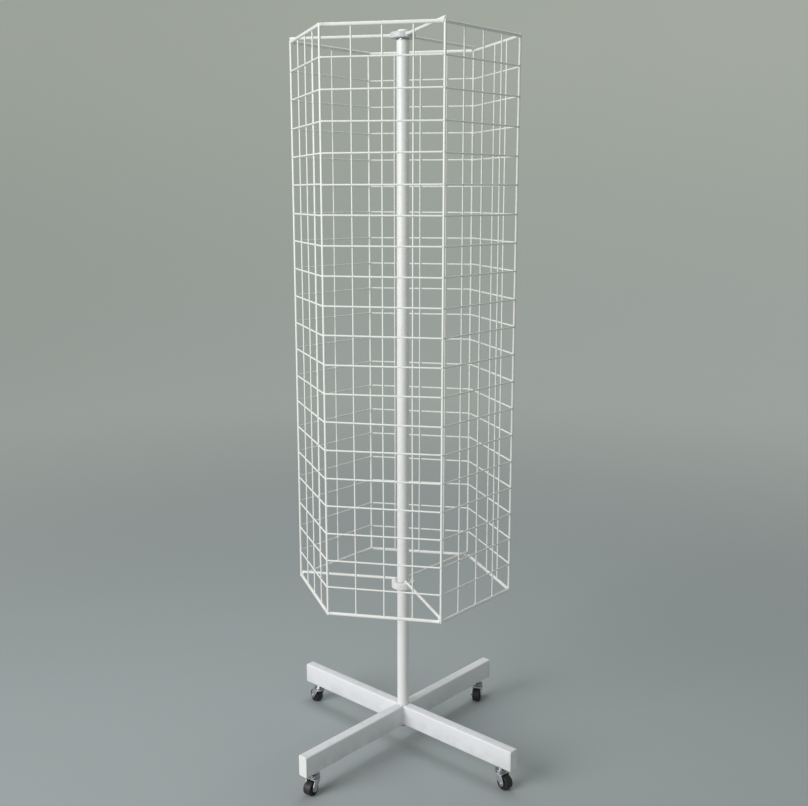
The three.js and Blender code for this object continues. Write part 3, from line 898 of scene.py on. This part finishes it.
f_lo, f_hi = box("pole_foot_plug")
r_plug = f_hi[0] - 0.05
s = lathe(fillet([(6.6, f_lo[2]), (r_plug, f_lo[2]), (r_plug, f_hi[2]), (6.6, f_hi[2])], [0.5, 0.8, 0.8, 0.8], 4), 64)
piece("foot_plug", s, M_ZINC, "base", "pole_foot_plug")
w_lo, w_hi = box("foot_washer")
s = lathe(fillet([(6.5, w_lo[2]), (14.9, w_lo[2]), (14.9, w_hi[2]), (6.5, w_hi[2])], 0.5, 4), 72)
piece("washer_foot", s, M_ZINC, "base", "foot_washer")
fb_lo, fb_hi = box("foot_bolt")
s = Shape()
hex_solid(18.0, fb_lo[2], fb_lo[2] + 7.3, None, s)
lathe([(0, fb_lo[2] + 7.0), (5.8, fb_lo[2] + 7.0), (5.8, fb_lo[2] + 45), (0, fb_lo[2] + 45)], 48, None, s)
thread(5.85, 0.8, 1.75, fb_lo[2] + 44, fb_hi[2] - 0.2, 40, 8, None, s)
piece("bolt_foot", s, M_ZINC, "base", "foot_bolt")

pp_lo, pp_hi = box("pivot_plug")
seat = box("thrust_race_lower")[0][2] - 0.3
s = Shape()
r_in = 14.55
pin = pp_hi[2] - 5.2
prof = fillet(
    [(0, pp_lo[2]), (r_in, pp_lo[2]), (r_in, p_hi[2] + 0.3), (16.9, p_hi[2] + 0.3), (16.9, seat), (5.9, seat), (5.9, pin + 2.15), (5.15, pin + 2.15), (5.15, pin + 3.65), (5.9, pin + 3.65), (5.9, pin + 5.15), (0, pin + 5.15)],
    [0, 1.2, 0.3, 0.5, 0.6, 0.5, 0.15, 0.15, 0.15, 0.15, 0.6, 0],
    4,
    loop=False,
)
lathe(prof, 72, None, s)
piece("pivot_plug_pin", s, M_STEEL, "base", "pivot_plug")


def race(name, node, body, r0, r1, groove_up):
    lo, hi = box(node)
    z0, z1 = lo[2], hi[2]
    mid_r = (r0 + r1) / 2
    g = [(mid_r + 1.7 * math.cos(a), (z1 if groove_up else z0) - (1 if groove_up else -1) * 0.55 * math.sin(a)) for a in np.linspace(0, math.pi, 9)]
    if groove_up:
        prof = [(r0, z1 - 0.3), (r0, z0 + 0.3), (r0 + 0.3, z0), (r1 - 0.3, z0), (r1, z0 + 0.3), (r1, z1 - 0.3), (r1 - 0.3, z1), *g, (r0 + 0.3, z1)]
    else:
        prof = [(r0, z0 + 0.3), (r0, z1 - 0.3), (r0 + 0.3, z1), (r1 - 0.3, z1), (r1, z1 - 0.3), (r1, z0 + 0.3), (r1 - 0.3, z0), *g, (r0 + 0.3, z0)]
    piece(name, lathe(prof, 72), M_STEEL, body, node)


race("race_lower", "thrust_race_lower", "base", 6.4, 12.6, True)
race("race_upper", "thrust_race_upper", "cage", 6.7, 12.6, False)
t_lo, t_hi = box("thrust_ball_ring")
s = Shape()
zc = (t_lo[2] + t_hi[2]) / 2
rb = (t_hi[2] - t_lo[2]) / 2
for i in range(14):
    a = 2 * math.pi * (i + 0.5) / 14
    ball(rb, (9.55 * math.cos(a), 9.55 * math.sin(a), zc), 20, 14, into=s)
piece("balls_thrust", s, M_STEEL, "base", "thrust_ball_ring")
s = lathe(fillet([(7.4, zc - 0.5), (11.8, zc - 0.5), (11.8, zc + 0.5), (7.4, zc + 0.5)], 0.2, 2), 64)
piece("ball_cage_thrust", s, M_ZINC, "base", ())

w_lo, w_hi = box("pivot_washer")
s = lathe(fillet([(6.4, w_lo[2]), (11.4, w_lo[2]), (11.4, w_hi[2]), (6.4, w_hi[2])], 0.35, 3), 64)
piece("washer_pivot", s, M_ZINC, "base", "pivot_washer")
n_lo, n_hi = box("pivot_clip")
s = Shape()
arc = [(7.7 * math.cos(a), 7.7 * math.sin(a), (n_lo[2] + n_hi[2]) / 2) for a in np.radians(np.linspace(80 + 27, 80 + 333, 72))]
sweep(arc, fillet([(-2.0, -0.45), (2.0, -0.45), (2.0, 0.45), (-2.0, 0.45)], 0.15, 3), into=s)
piece("clip_pivot", s, M_STEEL, "base", "pivot_clip", sharp=30)

# ---------------------------------------------------------------------------------------------------
# base: legs, their caps, the welds at the cross
# ---------------------------------------------------------------------------------------------------
leg_lo, leg_hi = box("leg_long")
LEG_HALF, LEG_Z0, LEG_Z1 = leg_hi[0], leg_lo[2], leg_hi[2]
LEG_W, LEG_H = 2 * box("leg_cap_fr")[1][1], LEG_Z1 - LEG_Z0
ZC = (LEG_Z0 + LEG_Z1) / 2
R_OUT, WALL = 4.2, 2.0


def ring_section(w, h, r, n=6):
    return fillet([(-w / 2, -h / 2), (w / 2, -h / 2), (w / 2, h / 2), (-w / 2, h / 2)], r, n)


def tube(x0, x1, step=20.0):
    """A rectangular tube along X with rounded corners and slightly rounded cut ends."""
    so, si = ring_section(LEG_W, LEG_H, R_OUT), ring_section(LEG_W - 2 * WALL, LEG_H - 2 * WALL, R_OUT - WALL)
    k = len(so)
    e = 0.3
    out_rings = [(x0, 1), (x0 + e, 0)] + [(x, 0) for x in np.linspace(x0 + 6, x1 - 6, max(2, int((x1 - x0) / step)))] + [(x1 - e, 0), (x1, 1)]
    rings = []
    for x, inset in out_rings:
        q = ring_section(LEG_W - 2 * e, LEG_H - 2 * e, R_OUT - e) if inset else so
        rings.append(np.column_stack([np.full(k, x), q[:, 0], q[:, 1] + ZC]))
    for x in (x1, x0):
        rings.append(np.column_stack([np.full(k, x), si[:, 0], si[:, 1] + ZC]))
    n = len(rings)
    f = []
    for i in range(n):
        i2 = (i + 1) % n
        for j in range(k):
            j2 = (j + 1) % k
            f.append((i * k + j, i * k + j2, i2 * k + j2, i2 * k + j))
    return Shape().add(np.vstack(rings), f)


def leg(x0, x1, stems, centre=False):
    me = mesh_of(tube(x0, x1))
    nuts = Shape()
    for x in stems:
        hex_solid(17.0, LEG_Z0 + WALL - 0.6, LEG_Z0 + WALL + 9, shift(x, 0, 0), nuts, both=False)
    me = boolean(me, [nuts], "UNION")
    cuts = Shape()
    for x in stems:
        lathe([(0, LEG_Z0 - 3), (5.35, LEG_Z0 - 3), (5.35, LEG_Z0 + 14), (0, LEG_Z0 + 14)], 40, shift(x, 0, 0), cuts)
    if centre:
        lathe([(0, LEG_Z0 - 3), (6.5, LEG_Z0 - 3), (6.5, LEG_Z1 + 3), (0, LEG_Z1 + 3)], 40, None, cuts)
    return tidy(boolean(me, [cuts], "DIFFERENCE"))


def leg_wear(v):
    """High along the rounded corners, more towards the leg's end and on the lower corners."""
    along = np.maximum(np.abs(v[:, 0]), np.abs(v[:, 1]))
    across = np.minimum(np.abs(v[:, 0]), np.abs(v[:, 1]))
    corner = (across > LEG_W / 2 - 3.4) & ((v[:, 2] > LEG_Z1 - 3.4) | (v[:, 2] < LEG_Z0 + 3.4))
    ends = np.clip((along - 397) / 5, 0, 1)
    return np.maximum(corner * np.clip((along - 300) / 400, 0.0, 0.25), ends * 0.5 * ((across > 11) | (v[:, 2] > LEG_Z1 - 5) | (v[:, 2] < LEG_Z0 + 5)))


CR = float(np.linalg.norm(np.array(JOINT["swivel_fr"]["pos_m"][:2]))) / MM
short_lo = box("leg_short_back")[0][1]
me = leg(-LEG_HALF, LEG_HALF, [-CR, CR], True)
piece("tube_long", me, M_LEG, "base", "leg_long", wear=leg_wear)
for name, node, deg in (("tube_back", "leg_short_back", 90), ("tube_front", "leg_short_front", 270)):
    me = leg(short_lo, LEG_HALF, [CR])
    co = coords(me)
    r = spin(deg)[:3, :3]
    set_coords(me, co @ r.T)
    piece(name, me, M_LEG, "base", node, wear=leg_wear)

s = Shape()
for sx in (-1, 1):
    for sy in (-1, 1):
        c = LEG_W / 2 + 0.7
        bead([(sx * c, sy * c, LEG_Z0 + 3.5), (sx * c, sy * c, LEG_Z1 - 3.5)], 2.6, 3.4, 0.2, 20 + sx + 2 * sy, s, 12, up=(1, 0, 0))
for sy in (-1, 1):
    bead([(3.8 - LEG_W / 2, sy * (LEG_W / 2 + 0.15), LEG_Z1 - 0.75), (LEG_W / 2 - 3.8, sy * (LEG_W / 2 + 0.15), LEG_Z1 - 0.75)], 1.25, 3.0, 0.15, 40 + sy, s, 10)
    bead([(3.8 - LEG_W / 2, sy * (LEG_W / 2 + 0.15), LEG_Z0 + 0.3), (LEG_W / 2 - 3.8, sy * (LEG_W / 2 + 0.15), LEG_Z0 + 0.3)], 1.7, 3.0, 0.2, 44 + sy, s, 10)
piece("cross_welds", s, M_LEG, "base", ())


def leg_cap(deg):
    """A push-in cap: a face plate with a softly rounded edge, and a skirt inside the tube."""
    x = LEG_HALF + 0.3
    t = box("leg_cap_fr")[1][0] - x
    outline = ring_section(LEG_W - 0.2, LEG_H - 0.2, R_OUT - 0.1, 6)
    s = Shape()
    m = np.zeros((4, 4))  # plate's x across (y), y up (z), z along the leg (x)
    m[0, 2], m[1, 0], m[2, 1], m[3, 3] = 1, 1, 1, 1
    m[:3, 3] = (x, 0, ZC)
    k = len(outline)
    rings = [(0.35, 0.0), (0.0, 0.35)]
    for q in range(1, 8):
        a = math.pi / 2 * q / 7
        rings.append((1.5 * (1 - math.cos(a)), t - 1.5 + 1.5 * math.sin(a) - 0.25))
    rings += [(3.2, t - 0.14), (6.0, t - 0.04), (10.0, t)]
    v, f = [], []
    for off, zz in rings:
        p = ring_section(LEG_W - 0.2 - 2 * off, LEG_H - 0.2 - 2 * off, max(R_OUT - 0.1 - off, 0.6), 6)
        v.append(np.column_stack([p, np.full(k, zz)]))
    n = len(rings)
    for i in range(n - 1):
        for j in range(k):
            j2 = (j + 1) % k
            f.append((i * k + j, i * k + j2, (i + 1) * k + j2, (i + 1) * k + j))
    f.append(tuple(range(k - 1, -1, -1)))
    f.append(tuple((n - 1) * k + j for j in range(k)))
    s.add(np.vstack(v), f, m)
    # skirt
    w, h = LEG_W - 2 * WALL - 0.6, LEG_H - 2 * WALL - 0.6
    so, si = ring_section(w, h, 1.8, 4), ring_section(w - 4, h - 4, 1.0, 4)
    kk = len(so)
    rings = [np.column_stack([np.full(kk, xx), q[:, 0], q[:, 1] + ZC]) for xx, q in ((x + 0.6, so), (x - 12.6, so), (x - 13.6, so * 0.97), (x - 13.6, si), (x + 0.6, si))]
    f = []
    for i in range(len(rings)):
        i2 = (i + 1) % len(rings)
        for j in range(kk):
            j2 = (j + 1) % kk
            f.append((i * kk + j, i * kk + j2, i2 * kk + j2, i2 * kk + j))
    s.add(np.vstack(rings), f)
    out = Shape()
    return out.merge(s, spin(deg))


for key, deg in (("fr", 0), ("br", 90), ("bl", 180), ("fl", 270)):
    piece("end_cap_" + key, leg_cap(deg), M_CAP, "base", "leg_cap_" + key)

# ---------------------------------------------------------------------------------------------------
# casters, each in its own frame: swivel axis on Z, wheel trailing towards +X
# ---------------------------------------------------------------------------------------------------
SWIVEL, AXLE = (np.array(JOINT[j]["pos_m"]) / MM for j in ("swivel_fr", "wheel_spin_fr"))
AX, AZ = float(np.linalg.norm((AXLE - SWIVEL)[:2])), float(AXLE[2])
WHEEL_W, WHEEL_R = 24.0, float(AXLE[2])
CROWN = box("caster_fork_fr")[1][2]
FLOAT_Z = box("caster_balls_fr")


def wheel_shape():
    w, R = WHEEL_W / 2, WHEEL_R
    side = [(3.5, w), (6.6, w), (7.3, w - 2.2), (R - 4.8, w - 2.8), (R - 4.0, w - 0.5), (R - 1.3, w - 0.5), (R - 0.35, w - 2.1), (R, w - 5.0)]
    prof = [(r, -z) for r, z in side] + [(R, 0.0)] + [(r, z) for r, z in side[::-1]]
    radii = [0.4, 0.7, 0.8, 0.9, 0.7, 0.8, 1.0, 3.0, 0, 3.0, 1.0, 0.8, 0.7, 0.9, 0.8, 0.7, 0.4]
    p = fillet(prof, radii, 4)
    me = mesh_of(lathe(p, 96))
    ribs = Shape()
    for i in range(8):
        a = 360 * i / 8
        for sgn in (-1, 1):
            z0, z1 = (w - 4.0, w - 1.2) if sgn > 0 else (-w + 1.2, -w + 4.0)
            o = fillet([(6.7, -0.8), (R - 4.1, -0.8), (R - 4.1, 0.8), (6.7, 0.8)], 0.2, 2)
            plate(o, z0, z1, 0.35, 2, ribs, spin(a))
    me = tidy(boolean(me, [ribs], "UNION"))
    return me


def fork_shape():
    """Pressed from one strip: a crown over the wheel and two arms, with round bends between them."""
    y_out, t = WHEEL_W / 2 + 1.4 + 2.0, 2.0
    z_top = CROWN
    x0, x1 = -16.0, 30.0
    # the strip's section in (y, z): up one side, over, down the other
    outer = fillet([(-y_out, 6), (-y_out, z_top), (y_out, z_top), (y_out, 6)], [0, 4.2, 4.2, 0], 8, loop=False)
    inner = fillet([(y_out - t, 6), (y_out - t, z_top - 2.2), (-y_out + t, z_top - 2.2), (-y_out + t, 6)], [0, 2.2, 2.2, 0], 8, loop=False)
    sec = np.vstack([outer, inner])
    k = len(sec)
    v = np.vstack([np.column_stack([np.full(k, x), sec[:, 0], sec[:, 1]]) for x in (x0, x1)])
    f = [(j, (j + 1) % k, k + (j + 1) % k, k + j) for j in range(k)]
    f += [tuple(range(k - 1, -1, -1)), tuple(range(k, 2 * k))]
    strip = mesh_of(Shape().add(v, f))
    # side view in (x, z)
    tip = [(AX + 7.6 * math.cos(a), AZ + 7.6 * math.sin(a)) for a in np.radians(np.linspace(205, 372, 16))]
    front = fillet([(-5.2, z_top + 1.4), (-5.8, z_top - 7.0), (1.0, z_top - 16.5), tip[0]], [0, 3.0, 16.0, 0], 8, loop=False)
    back = fillet([tip[-1], (24.3, z_top - 17.5), (17.4, z_top - 5.5), (17.0, z_top + 1.4)], [0, 10.0, 3.0, 0], 8, loop=False)
    side = np.vstack([front[:-1], tip, back[1:]])
    k = len(side)
    v = np.vstack([np.column_stack([side[:, 0], np.full(k, y), side[:, 1]]) for y in (-20, 20)])
    f = [(j, (j + 1) % k, k + (j + 1) % k, k + j) for j in range(k)] + [tuple(range(k - 1, -1, -1)), tuple(range(k, 2 * k))]
    arms = Shape().add(v, f)
    # plan of the crown, which is rounder in front than the arms
    r = math.hypot(4, y_out)
    a0 = math.atan2(y_out, -4)
    arc = [(r * math.cos(a), r * math.sin(a)) for a in np.linspace(a0, 2 * math.pi - a0, 28)]
    plan = np.array([(17.0, -y_out - 1), (17.0, y_out + 1), (-4, y_out + 1)] + arc[0:] + [(-4, -y_out - 1)])
    plan = np.array([(17.0, -y_out), (17.0, y_out)] + arc)
    crown = plate(plan[::1], z_top - 2.2, z_top, 0.25, 2)
    me = boolean(strip, [arms], "INTERSECT")
    me = boolean(me, [crown], "UNION")
    cuts = Shape()
    lathe([(0, z_top - 5), (4.6, z_top - 5), (4.6, z_top + 3), (0, z_top + 3)], 40, None, cuts)
    lathe([(0, -20), (3.25, -20), (3.25, 20), (0, 20)], 36, shift(AX, 0, AZ) @ spin(90, "x"), cuts)
    me = tidy(boolean(me, [cuts], "DIFFERENCE"), 0.01)
    bm = bmesh.new()
    bm.from_mesh(me)
    bmesh.ops.dissolve_limit(bm, angle_limit=math.radians(1.0), verts=bm.verts, edges=bm.edges)
    bm.to_mesh(me)
    bm.free()
    o = bpy.data.objects.new("tmp", me)
    bpy.context.scene.collection.objects.link(o)
    b = o.modifiers.new("b", "BEVEL")
    b.width, b.segments, b.limit_method, b.angle_limit = 0.28 * MM, 2, "ANGLE", math.radians(50)
    b.use_clamp_overlap = True
    dg = bpy.context.evaluated_depsgraph_get()
    out = bpy.data.meshes.new_from_object(o.evaluated_get(dg))
    bpy.data.objects.remove(o)
    return out


def stem_shape():
    s = Shape()
    # rivet head, pin and upper cup with its turned-down rim, then washer and lock nut under the leg
    zb, zt = CROWN, FLOAT_Z[1][2] + 0.3
    prof = fillet(
        [(0, zb - 4.8), (3.0, zb - 4.7), (5.8, zb - 3.6), (5.8, zb - 2.55), (3.9, zb - 2.55), (3.9, zt + 0.8), (9.2, zt + 0.8), (9.8, zt + 1.3), (12.0, zt + 1.3), (12.8, zt + 0.1), (15.3, zt + 0.1), (15.3, zt + 2.5), (4.8, zt + 2.5), (4.8, LEG_Z0 + 1), (0, LEG_Z0 + 1)],
        [0, 1.0, 0.8, 0.3, 0.3, 0.3, 0.3, 0.3, 0.3, 0.3, 0.5, 1.2, 0.3, 0, 0],
        4,
        loop=False,
    )
    lathe(prof, 64, None, s)
    thread(4.95, 0.65, 1.5, LEG_Z0 + 0.5, LEG_Z0 + 20.8, 36, 8, None, s)
    hex_solid(14.7, zt + 3.2, zt + 9.6, None, s)
    lathe(fillet([(4.9, LEG_Z0 - 2.2), (8.5, LEG_Z0 - 2.2), (8.5, LEG_Z0 - 0.4), (4.9, LEG_Z0 - 0.4)], [0.1, 0.3, 0.3, 0.1], 3), 48, None, s)
    return s


def balls_shape():
    s = Shape()
    z0, z1 = FLOAT_Z[0][2], FLOAT_Z[1][2]
    zc, r = (z0 + z1) / 2, (z1 - z0) / 2 - 0.3
    for i in range(16):
        a = 2 * math.pi * i / 16
        ball(r, (11.4 * math.cos(a), 11.4 * math.sin(a), zc), 16, 10, into=s)
    # lower race, pressed into a shallow cup, with a dust rim
    lathe(fillet([(5.3, z0 + 0.02), (14.3, z0 + 0.02), (14.3, z0 + 2.6), (13.85, z0 + 2.6), (13.85, z0 + 0.6), (5.3, z0 + 0.6)], [0.1, 0.3, 0.15, 0.15, 0.3, 0.1], 3), 64, None, s)
    return s


def axle_shape():
    s = Shape()
    m = shift(AX, 0, AZ) @ spin(-90, "x")
    e = WHEEL_W / 2 + 1.4 + 2.0 + 0.3
    lathe([(0, -e - 0.3), (2.9, -e - 0.3), (2.9, e + 2.9), (0, e + 2.9)], 40, m, s)
    flip = m @ spin(180, "x")
    hex_solid(8.9, e, e + 2.9, flip, s, both=False)
    lathe(fillet([(2.95, e + 0.0), (4.9, e + 0.0), (4.9, e + 0.5), (2.95, e + 0.5)], 0.1, 2), 40, m, s)
    hex_solid(8.9, e + 0.5, e + 3.1, m, s, both=True)
    return s


wheel_me, fork_me = wheel_shape(), fork_shape()
stem_me, balls_me, axle_me = mesh_of(stem_shape()), mesh_of(balls_shape()), mesh_of(axle_shape())
# the wheel is built lying flat: stand it on its axle
wco = coords(wheel_me) @ spin(-90, "x")[:3, :3].T + np.array((AX, 0, AZ)) * MM
wheel_wear = np.clip((np.linalg.norm((coords(wheel_me) / MM)[:, :2], axis=1) - (WHEEL_R - 1.2)) / 0.9, 0, 1)
set_coords(wheel_me, wco)

for idx, key in enumerate(("fr", "br", "bl", "fl")):
    pos = np.array(JOINT["swivel_" + key]["pos_m"][:2]) / MM
    axis = JOINT["wheel_spin_" + key]["axis"]
    trail = math.degrees(math.atan2(-axis[0], axis[1]))
    m = shift(pos[0], pos[1]) @ spin(trail)

    def placed(me, turn_wheel=0.0):
        out = me.copy()
        co = coords(me) / MM
        if turn_wheel:
            c = np.array((AX, 0, AZ))
            co = (co - c) @ spin(turn_wheel, "y")[:3, :3].T + c
        set_coords(out, (co @ m[:3, :3].T + m[:3, 3]) * MM)
        return out

    w = placed(wheel_me, 37.0 * idx + 11)
    at = w.attributes.new("wear", "FLOAT", "POINT")
    at.data.foreach_set("value", wheel_wear.astype(np.float32))
    piece("wheel_" + key, w, M_WHEEL, "wheel_" + key, "caster_wheel_" + key, sharp=30)
    piece("fork_" + key, placed(fork_me), M_ZINC_FORK, "caster_" + key, "caster_fork_" + key, sharp=30)
    piece("axle_bolt_" + key, placed(axle_me), M_ZINC, "caster_" + key, "caster_axle_" + key, sharp=30)
    piece("ball_race_" + key, placed(balls_me), M_STEEL, "caster_" + key, "caster_balls_" + key, sharp=30)
    piece("stem_" + key, placed(stem_me), M_ZINC, "base", "caster_stem_" + key, sharp=30)
for me in (wheel_me, fork_me, stem_me, balls_me, axle_me):
    bpy.data.meshes.remove(me)

# ---------------------------------------------------------------------------------------------------
# stage, light and camera
# ---------------------------------------------------------------------------------------------------


def stage_bowl():
    """A plain sweep all round: floor, a wide curve, and a wall."""
    prof = [(0.0, 0.0), (2.0, 0.0), (4.0, 0.0), (5.0, 0.0)]
    for a in np.linspace(0, 90, 24)[1:]:
        prof.append((5.0 + 4.0 * math.sin(math.radians(a)), 4.0 * (1 - math.cos(math.radians(a)))))
    prof += [(9.0, 6.0), (9.0, 9.0)]
    seg = 128
    ang = np.arange(seg) * 2 * math.pi / seg
    v = [(0.0, 0.0, 0.0)]
    f = []
    for r, z in prof[1:]:
        v += [(r * math.cos(a), r * math.sin(a), z) for a in ang]
    for j in range(seg):
        f.append((0, 1 + j, 1 + (j + 1) % seg))
    for i in range(len(prof) - 2):
        for j in range(seg):
            j2 = (j + 1) % seg
            f.append((1 + i * seg + j, 1 + (i + 1) * seg + j, 1 + (i + 1) * seg + j2, 1 + i * seg + j2))
    me = bpy.data.meshes.new("stage")
    me.from_pydata(v, [], f)
    for p in me.polygons:
        p.use_smooth = True
    o = bpy.data.objects.new("stage", me)
    bpy.context.scene.collection.objects.link(o)
    n = Nodes("stage_paint")
    z = n.axis(n.coord, 2)
    low, high = (0.355, 0.385, 0.395), (0.420, 0.432, 0.395)
    tone = n.mix(n.ramp(z, 0.3, 3.5), low, high)
    tone = n.mix(n.ramp(n.noise(1.3, 4, 0.55), 0.35, 0.7, 0.0, 0.08), tone, (0.34, 0.36, 0.365))
    glow = n.t.nodes.new("ShaderNodeEmission")  # the backdrop has a light of its own, which fades out on the floor
    glow.inputs["Color"].default_value = (0.93, 1.0, 0.88, 1.0)
    x, y = n.axis(n.coord, 0), n.axis(n.coord, 1)
    away = n.math("SQRT", n.math("ADD", n.math("MULTIPLY", x, x), n.math("MULTIPLY", y, y)))
    n.link(n.math("ADD", n.ramp(away, 1.2, 5.5, 0.0, 0.175), n.ramp(z, 0.2, 3.5, 0.0, 0.04)), glow.inputs["Strength"])
    both = n.t.nodes.new("ShaderNodeAddShader")
    n.link(n.bsdf.outputs[0], both.inputs[0])
    n.link(glow.outputs[0], both.inputs[1])
    n.link(both.outputs[0], n.out.inputs["Surface"])
    n.mat.cycles.emission_sampling = "NONE"
    me.materials.append(n.done(tone, 0.75, n.bump(n.noise(180.0, 3, 0.5), 0.05, 0.0005), Specular_IOR_Level=0.25))
    o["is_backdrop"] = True
    return o


stage_bowl()


def area(name, at, look, size, power, color=(1, 1, 1), size_y=None, spread=180):
    d = bpy.data.lights.new(name, "AREA")
    d.energy, d.size, d.color = power, size, color
    d.spread = math.radians(spread)
    if size_y:
        d.shape, d.size_y = "RECTANGLE", size_y
    o = bpy.data.objects.new(name, d)
    bpy.context.scene.collection.objects.link(o)
    o.location = at
    o.rotation_mode = "QUATERNION"
    o.rotation_quaternion = (Vector(look) - Vector(at)).to_track_quat("-Z", "Y")
    o.visible_camera = False
    return o


area("key", (-0.9, -4.6, 2.7), (0, 0, 1.1), 3.2, 94, (1.0, 0.995, 0.99), spread=110)
area("overhead", (-0.6, 0.9, 4.4), (0, 0, 0), 1.6, 42, (0.98, 0.99, 1.0))

world = bpy.data.worlds.new("studio")
bpy.context.scene.world = world
world.use_nodes = True
bg = world.node_tree.nodes["Background"]
bg.inputs[0].default_value = (0.86, 0.90, 0.95, 1)
bg.inputs[1].default_value = 0.33

cam_data = bpy.data.cameras.new("camera")
cam = bpy.data.objects.new("camera", cam_data)
bpy.context.scene.collection.objects.link(cam)
cam_data.sensor_width = 36.0
cam_data.lens = 1033.51 * 36.0 / 808.0
cam.location = (1.8980, -2.1099, 1.6027)
cam.rotation_euler = (math.radians(90 - 11.365), 0.0, math.radians(41.921))
cam_data.clip_end = 60
bpy.context.scene.camera = cam
bpy.context.scene.view_settings.view_transform = "Standard"

lo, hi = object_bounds()
